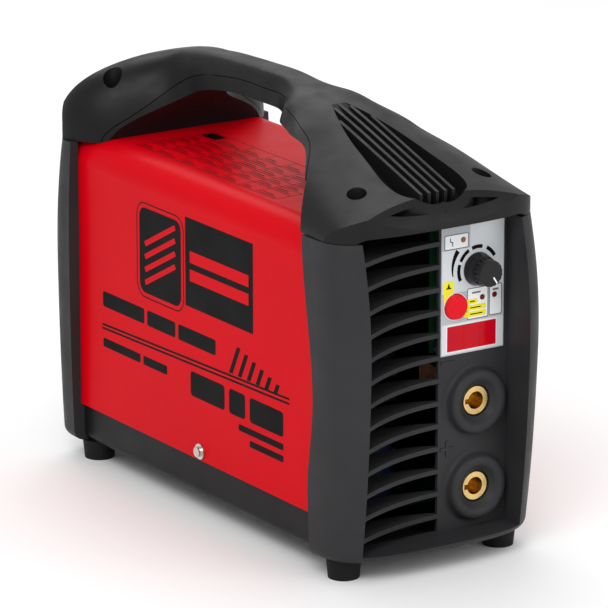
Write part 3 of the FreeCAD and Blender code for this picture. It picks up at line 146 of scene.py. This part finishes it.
red_paint = paint("red_paint", RED, 0.34, 0.02, 0.04)
hood_plastic = plastic("hood_plastic", HOOD, 0.40, 1100.0, 0.00003)
bezel_plastic = plastic("bezel_plastic", BEZEL, 0.48, 900.0, 0.00005)
tray_paint = paint("tray_paint", BASE, 0.42, 0.0)
foot_rubber = plastic("foot_rubber", (0.008, 0.008, 0.009), 0.66, 700.0, 0.00005)
black_plastic = plastic("black_plastic", BLACK, 0.36)
knob_plastic = plastic("knob_plastic", (0.016, 0.016, 0.017), 0.30, 1600.0, 0.00002)
zinc = metal("zinc", (0.62, 0.64, 0.60), 0.28)
dark_steel = metal("dark_steel", (0.10, 0.10, 0.11), 0.36)
steel = metal("steel", (0.55, 0.55, 0.56), 0.30)
brass = metal("brass", (0.72, 0.50, 0.20), 0.24)
copper = metal("copper", (0.76, 0.34, 0.18), 0.32)
alloy = metal("alloy", (0.66, 0.67, 0.69), 0.34, (1, 0.05, 1))
plate_paint = paint("plate_paint", (0.42, 0.44, 0.46), 0.36, 0.15)
button_plastic = plastic("button_plastic", (0.66, 0.002, 0.012), 0.30, 1800.0, 0.00001)
window_plastic = plastic("window_plastic", (0.50, 0.001, 0.010), 0.16, 1800.0, 0.000004)
lamp_amber = plastic("lamp_amber", (0.30, 0.13, 0.04), 0.16, 1800.0, 0.000004)
board_green = plastic("board_green", (0.006, 0.045, 0.016), 0.5)
ferrite = plastic("ferrite", (0.05, 0.05, 0.055), 0.6)
sleeve_blue = plastic("sleeve_blue", (0.015, 0.03, 0.11), 0.32)
pale_nylon = plastic("pale_nylon", (0.05, 0.05, 0.05), 0.45)

FINISHES = {
    "front_bezel": bezel_plastic,
    "rear_cover": bezel_plastic,
    "side_cover": red_paint,
    "base_tray": tray_paint,
    "rubber_feet": foot_rubber,
    "cover_screws": zinc,
    "cover_washers": zinc,
    "handle_shell": hood_plastic,
    "handle_liner": hood_plastic,
    "handle_screws": dark_steel,
    "clip_nuts": steel,
    "control_plate": plate_paint,
    "display_window": window_plastic,
    "display_module": black_plastic,
    "control_board": board_green,
    "board_spacers": pale_nylon,
    "potentiometer": steel,
    "potentiometer_shaft": steel,
    "control_knob": knob_plastic,
    "knob_cap": knob_plastic,
    "mode_button": button_plastic,
    "mode_switch": black_plastic,
    "indicator_lamps": lamp_amber,
    "positive_socket_body": black_plastic,
    "negative_socket_body": black_plastic,
    "positive_socket_insert": brass,
    "negative_socket_insert": brass,
    "positive_busbar": copper,
    "negative_busbar": copper,
    "socket_nuts": brass,
    "power_switch_housing": black_plastic,
    "power_rocker": knob_plastic,
    "cable_gland": black_plastic,
    "gland_nut": black_plastic,
    "fan_housing": black_plastic,
    "fan_rotor": black_plastic,
    "fan_screws": dark_steel,
    "main_board": board_green,
    "board_standoffs": brass,
    "heatsink_left": alloy,
    "heatsink_right": alloy,
    "switching_transistors": black_plastic,
    "output_diodes": black_plastic,
    "transformer_core": ferrite,
    "transformer_winding": copper,
    "transformer_shelf": alloy,
    "output_choke": copper,
    "bulk_capacitors": sleeve_blue,
    "bridge_rectifier": black_plastic,
}
for name, node in nodes.items():
    finish = FINISHES[name]
    node.data.materials.clear()
    node.data.materials.append(finish)
    for face in node.data.polygons:
        face.material_index = 0

def repaint(name, finish, wanted):
    """Gives a second material to the faces of a piece for which wanted(centre, normal) holds."""
    mesh = nodes[name].data
    mesh.materials.append(finish)
    for face in mesh.polygons:
        if wanted(face.center, face.normal):
            face.material_index = 1


UPPER_HALF = 0.2
FAULT_LAMP_LOW = 0.22


def faces_inward(centre, normal):
    """The inner side of the sheet cover, which sees the interior and is given a black painted shade."""
    towards_middle = normal.x * centre.x < -1e-4
    under_the_top = normal.z < -0.5 and centre.z > UPPER_HALF
    return towards_middle or under_the_top


def below_fault_lamp(centre, normal):
    """The two lower lamps, which are dark red."""
    return centre.z < FAULT_LAMP_LOW


# Painted shade: the inward faces of the red cover are coloured black to stand in for the dark inside of the
# case.
painted_inner_shade = plastic("painted_inner_shade", BLACK, 0.6)
lamp_red = plastic("lamp_red", (0.16, 0.002, 0.004), 0.2, 1800.0, 0.000004)
repaint("side_cover", painted_inner_shade, faces_inward)
repaint("indicator_lamps", lamp_red, below_fault_lamp)

# ---------------------------------------------------------------- prints

SIDE_X = max(abs(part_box("side_cover")[0].x), abs(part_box("side_cover")[1].x))
PLATE_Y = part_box("control_plate")[0].y
TOP_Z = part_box("side_cover")[1].z
LIFT = 0.00004
MM = 1e-3

ink_black = paint("ink_black", (0.001, 0.001, 0.001), 0.5, 0.0, 0.08)
ink_white = paint("ink_white", (0.80, 0.81, 0.82), 0.38, 0.1)
ink_pale = paint("ink_pale", (0.62, 0.64, 0.66), 0.38, 0.1)
ink_yellow = paint("ink_yellow", (0.80, 0.72, 0.02), 0.38, 0.1)
ink_red = paint("ink_red", RED, 0.34, 0.02, 0.04)
ink_dark_red = paint("ink_dark_red", (0.36, 0.001, 0.008), 0.2, 0.1)
ink_black_soft = paint("ink_black_soft", (0.10, 0.11, 0.12), 0.4, 0.0)
ink_grey = paint("ink_grey", (0.16, 0.16, 0.17), 0.4, 0.0)

# Each plane: where (0, 0) lies, and the directions of its u, v and outward axes.
PLANES = {
    "front": ((0, PLATE_Y, 0), (1, 0, 0), (0, 0, 1)),
    "left": ((-SIDE_X, 0, 0), (0, -1, 0), (0, 0, 1)),
    "right": ((SIDE_X, 0, 0), (0, 1, 0), (0, 0, 1)),
    "top": ((0, 0, TOP_Z), (0, -1, 0), (1, 0, 0)),
}


def print_on(name, plane, loops, ink, layer=0):
    """A flat print of filled outlines, given in millimetres on one of the planes."""
    outline = bpy.data.curves.new(name, "CURVE")
    outline.dimensions = "2D"
    outline.fill_mode = "BOTH"
    outline.extrude = LIFT / 2
    for loop in loops:
        spline = outline.splines.new("POLY")
        spline.points.add(len(loop) - 1)
        for point, (u, v) in zip(spline.points, loop):
            point.co = (u * MM, v * MM, 0, 1)
        spline.use_cyclic_u = True
    holder = bpy.data.objects.new(name + "_outline", outline)
    scene.collection.objects.link(holder)
    graph = bpy.context.evaluated_depsgraph_get()
    mesh = bpy.data.meshes.new_from_object(holder.evaluated_get(graph))
    bpy.data.objects.remove(holder)
    mesh.materials.clear()
    mesh.materials.append(ink)
    made = bpy.data.objects.new(name, mesh)
    scene.collection.objects.link(made)
    start, across, up = (Vector(part) for part in PLANES[plane])
    out = across.cross(up)
    lift = LIFT * (1.5 + 2 * layer)
    made.matrix_world = Matrix(
        (
            (across.x, up.x, out.x, start.x + out.x * lift),
            (across.y, up.y, out.y, start.y + out.y * lift),
            (across.z, up.z, out.z, start.z + out.z * lift),
            (0, 0, 0, 1),
        )
    )
    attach(made, "frame")
    return made


def box(low_u, low_v, high_u, high_v, radius=0.0):
    """A rectangle, with rounded corners where a radius is given."""
    if radius == 0:
        return [(low_u, low_v), (high_u, low_v), (high_u, high_v), (low_u, high_v)]
    corners = (
        (high_u - radius, low_v + radius, -90),
        (high_u - radius, high_v - radius, 0),
        (low_u + radius, high_v - radius, 90),
        (low_u + radius, low_v + radius, 180),
    )
    steps = 6
    points = []
    for u, v, start in corners:
        for step in range(steps + 1):
            turn = math.radians(start + 90 * step / steps)
            points.append((u + radius * math.cos(turn), v + radius * math.sin(turn)))
    return points


def circle(u, v, radius, count=40):
    turns = [2 * math.pi * step / count for step in range(count)]
    return [(u + radius * math.cos(turn), v + radius * math.sin(turn)) for turn in turns]


def arc_band(u, v, inner, outer, start, end):
    """A curved stripe between two radii; inner and outer are functions of the share along it."""
    steps = 24
    shares = [step / steps for step in range(steps + 1)]
    turns = [(share, math.radians(start + (end - start) * share)) for share in shares]

    def edge(radius):
        points = []
        for share, turn in turns:
            points.append((u + radius(share) * math.cos(turn), v + radius(share) * math.sin(turn)))
        return points

    return edge(outer) + edge(inner)[::-1]


def bar(start, end, width):
    """A straight stripe between two points."""
    along = Vector(end) - Vector(start)
    side = Vector((-along.y, along.x)).normalized() * width / 2
    points = (Vector(start) + side, Vector(start) - side, Vector(end) - side, Vector(end) + side)
    return [tuple(point) for point in points]


def side_print(plane):
    """Plain blocks, stripes and slanted bars on one side; u runs to the right, seen from outside."""

    def put(name, loops, ink=ink_black, layer=0):
        print_on(f"{plane}_{name}", plane, loops, ink, layer)

    put("block_frame", [box(-88, 152, -21.5, 226, 11), box(-87, 153, -22.5, 225, 10)])
    put("block_panel", [box(-84, 156, -25.5, 222, 8)])
    put("block_bars", [bar((-76, low), (-33.5, low + 22), 4.0) for low in (164, 174, 184, 194)], ink_red, 1)
    put("heading_block", [box(-19.5, 160, 73, 228)])
    put("heading_bars", [box(-13, low, 67, low + 9) for low in (180, 194)], ink_red, 1)
    put("upper_stripe", [bar((-139.5, 116.4), (121, 123.0), 1.7)])
    put("lower_stripe", [bar((-139.5, 113.4), (121, 119.4), 1.7)])
    foot = 123
    thick = 5
    slants = []
    for step in range(6):
        left = 40 + 12 * step
        height = 22 - 3 * step
        lean = height / 2
        low_edge = [(left, foot), (left + thick, foot)]
        slants.append(low_edge + [(left + thick + lean, foot + height), (left + lean, foot + height)])
    put("slanted_bars", slants)
    put("wide_band", [box(-138, 131, -78, 143, 2), box(-74, 131, -34, 143, 2), box(-30, 131, 22, 143, 2)])
    put("thin_band", [box(-138, 99, -84, 106, 1.2), box(-80, 99, -46, 106, 1.2)])
    put("lower_band", [box(-13, 92, 34, 111, 3), box(40, 92, 62, 111, 3), box(68, 92, 113, 111, 3)])
    put("small_bands", [box(53, 82, 113, 87, 1), box(68, 73, 113, 78, 1)])


for side in ("left", "right"):
    side_print(side)


def top_table():
    """A plain ruled table on the top, as lines and cells without any writing."""
    low_u, high_u, low_v, high_v = -128, 64, -58, 12
    rows = [low_v + (high_v - low_v) * share for share in (0, 0.2, 0.34, 0.48, 0.62, 0.78, 1.0)]
    columns = [low_u + (high_u - low_u) * share for share in (0, 0.12, 0.3, 0.46, 0.6, 0.74, 0.86, 1.0)]
    rules = [bar((low_u, v), (high_u, v), 0.5) for v in rows]
    rules += [bar((u, low_v), (u, high_v), 0.5) for u in columns]
    for index, rule in enumerate(rules):
        print_on(f"table_line_{index}", "top", [rule], ink_black)
    cells = []
    for row, v in enumerate(rows[:-1]):
        for column, u in enumerate(columns[:-1]):
            wide = columns[column + 1] - u - 6 - 3 * ((row + column) % 3)
            cells.append(box(u + 2.5, v + 2.2, u + 2.5 + wide, v + 3.3))
            cells.append(box(u + 2.5, v + 5.2, u + 2.5 + 0.7 * wide, v + 6.3))
    print_on("table_cells", "top", cells, ink_black)
    print_on("table_heads", "top", [box(low_u + 2, high_v - 13, low_u + 21, high_v - 2)], ink_black, 1)


top_table()


def control_print():
    """The marks of the control plate: boxes, dial arc, wedge and coloured labels."""

    def put(name, loops, ink, layer=0):
        print_on("plate_" + name, "front", loops, ink, layer)

    put("pale_middle", [box(11.6, 199.5, 65.4, 231.5, 0.6)], ink_pale)
    put("pale_right", [box(36.0, 231.5, 65.4, 251.4, 0.6)], ink_pale)
    put("pale_low", [box(11.6, 154.0, 65.4, 176.6, 0.6)], ink_pale)
    low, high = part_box("display_window")

    def round_window(margin, radius=0.0):
        low_corner = (low.x / MM - margin, low.z / MM - margin)
        high_corner = (high.x / MM + margin, high.z / MM + margin)
        return box(*low_corner, *high_corner, radius)

    put("window_rim", [round_window(1.0, 0.4), round_window(0.2)], ink_white, 1)
    lamps = ((29.9, 238.1), (47.0, 192.8), (57.8, 193.1))

    rim_width = 0.6
    lamp_hole = 2.2

    def box_with_hole(name, low_u, low_v, high_u, high_v, lamp):
        rim = box(low_u - rim_width, low_v - rim_width, high_u + rim_width, high_v + rim_width, 1.4)
        field = box(low_u, low_v, high_u, high_v, 0.9)
        put(name + "_rim", [rim, field], ink_black_soft, 1)
        put(name, [field, circle(*lamp, lamp_hole)], ink_white, 1)

    box_with_hole("fault_box", 14.0, 232.5, 34.0, 242.5, lamps[0])
    box_with_hole("lower_box", 34.2, 178.0, 51.6, 200.3, lamps[1])
    box_with_hole("right_box", 53.6, 178.5, 63.6, 200.5, lamps[2])
    strokes = (((18.6, 240.6), (18.6, 237.6)), ((18.6, 237.9), (20.6, 237.1)), ((20.6, 237.4), (20.6, 234.4)))
    put("fault_sign", [bar(start, end, 0.7) for start, end in strokes], ink_black, 2)
    knob = (42.7, 214.6)
    spans = ((205, 162), (154, 118), (108, 76), (62, 28))
    for index, (start, end) in enumerate(spans):
        band = arc_band(*knob, lambda share: 15.2, lambda share: 18.0, start, end)
        put(f"dial_{index}", [band], ink_black, 1)
    wedge = arc_band(*knob, lambda share: 21.4, lambda share: 22.2 + 3.2 * (1 - share), 138, 188)
    put("wedge", [wedge], ink_black, 1)
    button = (23.3, 189.2)
    put("hand_label", [box(13.0, 190.5, 21.6, 208.6, 1.0)], ink_yellow, 1)
    arrow = [(16.2, 204.0), (18.6, 204.0), (17.4, 207.4)]
    put("hand_mark", [box(15.2, 203.0, 19.6, 203.9), arrow], ink_black, 2)
    put("button_ring", [circle(*button, 10.5), circle(*button, 9.75)], ink_white, 2)
    strips = ((179.4, 183.4, 50.2), (184.2, 188.2, 50.2), (189.0, 192.6, 42.8))
    for index, (bottom, top, right) in enumerate(strips):
        put(f"strip_{index}", [box(30.5, bottom, right, top, 1.4)], ink_yellow, 2)
    dashes = []
    for index, (bottom, _, _) in enumerate(strips[:2]):
        dashes.append(box(36.5, bottom + 1.5, 47.0 - 1.5 * index, bottom + 2.3))
    put("strip_marks", dashes + [box(36.0, 190.4, 40.4, 191.2)], ink_black, 3)
    put("box_heads", [box(38.0, 196.4, 45.4, 197.8), box(56.0, 196.4, 61.2, 197.8)], ink_grey, 2)


control_print()


def window_cells():
    """Faint lines that part the red window into three places."""
    low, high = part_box("display_window")
    PLANES["window"] = ((0, low.y, 0), (1, 0, 0), (0, 0, 1))
    width = (high.x - low.x) / MM / 3
    lines = []
    for index in (1, 2):
        u = low.x / MM + width * index
        lines.append(bar((u, low.z / MM + 0.4), (u, high.z / MM - 0.4), 0.35))
    made = print_on("window_cells", "window", lines, ink_dark_red)


window_cells()


def knob_pointer():
    """The pale pointer line on the face of the knob's cap."""
    low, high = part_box("knob_cap")
    centre = (low + high) / 2
    PLANES["cap"] = ((centre.x, low.y, centre.z), (1, 0, 0), (0, 0, 1))
    made = print_on("knob_pointer", "cap", [bar((2.0, -3.0), (5.2, -7.8), 1.1)], ink_white)
    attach(made, "knob")


knob_pointer()

# ---------------------------------------------------------------- floor, light and camera

floor_mesh = bpy.data.meshes.new("floor")
reach = 12.0
corners = [(-reach, -reach, 0), (reach, -reach, 0), (reach, reach, 0), (-reach, reach, 0)]
floor_mesh.from_pydata(corners, [], [(0, 1, 2, 3)])
floor = bpy.data.objects.new("floor", floor_mesh)
scene.collection.objects.link(floor)
floor_paint, floor_shader = new_material("floor_paint", (0.93, 0.93, 0.93), 0.9)
floor_mesh.materials.append(floor_paint)

world = bpy.data.worlds.new("studio")
world.use_nodes = True
world.node_tree.nodes["Background"].inputs["Color"].default_value = (1.0, 1.0, 1.0, 1)
world.node_tree.nodes["Background"].inputs["Strength"].default_value = 0.72
scene.world = world
scene.view_settings.view_transform = "Standard"


def soft_light(name, place, target, size, power):
    """A square soft light aimed at a point."""
    lamp = bpy.data.lights.new(name, "AREA")
    lamp.shape = "RECTANGLE"
    lamp.size = size
    lamp.size_y = size
    lamp.energy = power
    made = bpy.data.objects.new(name, lamp)
    made.location = place
    made.rotation_euler = (Vector(target) - Vector(place)).to_track_quat("-Z", "Y").to_euler()
    scene.collection.objects.link(made)


CENTRE = (0, 0, 0.17)
REAR_TOP = (0, 0.05, 0.25)
soft_light("key", (-1.6, -1.5, 2.1), CENTRE, 1.4, 34)
soft_light("front_fill", (1.2, -2.4, 1.0), CENTRE, 1.6, 14)
soft_light("top_glow", (0.5, 1.2, 1.9), REAR_TOP, 1.6, 16)

camera_data = bpy.data.cameras.new("camera")
camera_data.sensor_width = 36
camera_data.lens = 296
camera_data.clip_end = 100
camera = bpy.data.objects.new("camera", camera_data)
camera.location = (-1.963, -3.000, 1.182)
camera.rotation_euler = Vector((0.528, 0.803, -0.276)).to_track_quat("-Z", "Y").to_euler()
scene.collection.objects.link(camera)
scene.camera = camera
